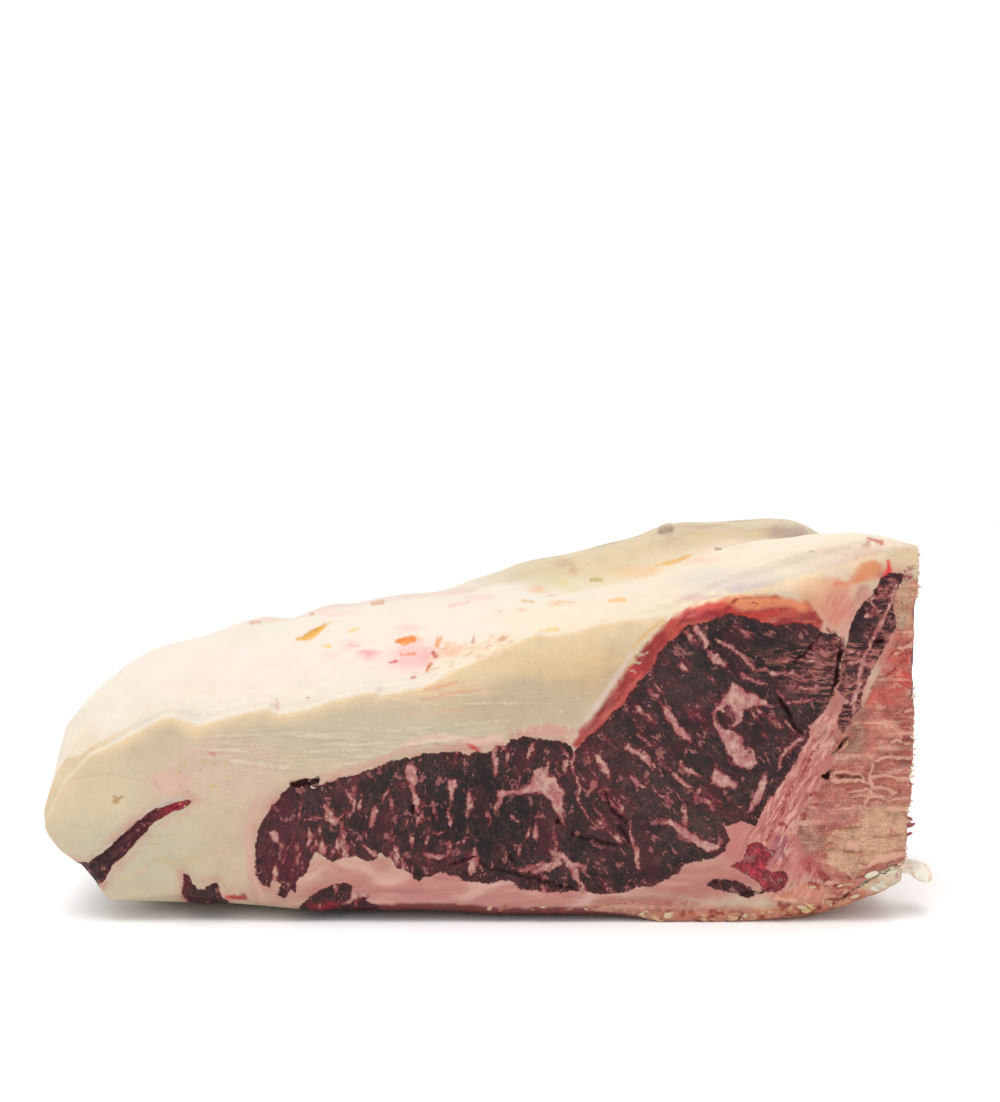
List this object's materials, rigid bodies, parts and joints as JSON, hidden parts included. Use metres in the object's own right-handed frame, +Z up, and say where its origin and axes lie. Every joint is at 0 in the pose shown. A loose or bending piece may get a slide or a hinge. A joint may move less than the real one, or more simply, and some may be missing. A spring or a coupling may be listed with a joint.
{
  "type": "bone-in sirloin steak",
  "caption": "Thick raw bone-in sirloin lying on its rib side: dark marbled loin eye under a deep cream fat cap, with the sawn chine bone along one side.",
  "frame": {"origin": "middle of the footprint, on the surface it lies on", "axes": "the cut face looks along -Y, +X runs along the cut from the flank end to the sawn chine, +Z is up from the rib side to the fat cap"},
  "size_m": [0.3049, 0.2, 0.1303],
  "materials": {
    "fat_cap": "smooth, waxy cream fat, slightly glossy",
    "back_fascia": "dried red membrane, satin",
    "loin_eye": "dark dry-aged meat, marbled, satin and a little moist",
    "chine_muscle": "dark fibrous meat, satin",
    "chine_bone": "sawn spongy bone, matt and damp",
    "inner_muscle": "red meat, satin and moist",
    "rib_bone": "pale bone, satin",
    "channel_fat": "dry crumbly yellow fat, matt",
    "flank_strip": "thin dried dark meat, satin",
    "flank_corner": "dried dark meat, satin",
    "tail_muscle": "dark red meat, satin",
    "seam_fat": "soft pink fat between the muscles, satin"
  },
  "bodies": {
    "root": {"fat_cap": "fat_cap", "back_fascia": "back_fascia", "loin_eye": "loin_eye", "chine_muscle": "chine_muscle", "chine_bone": "chine_bone", "inner_muscle": "inner_muscle", "rib_bone": "rib_bone", "channel_fat": "channel_fat", "flank_strip": "flank_strip", "flank_corner": "flank_corner", "tail_muscle": "tail_muscle", "seam_fat": "seam_fat"}
  },
  "joints": []
}
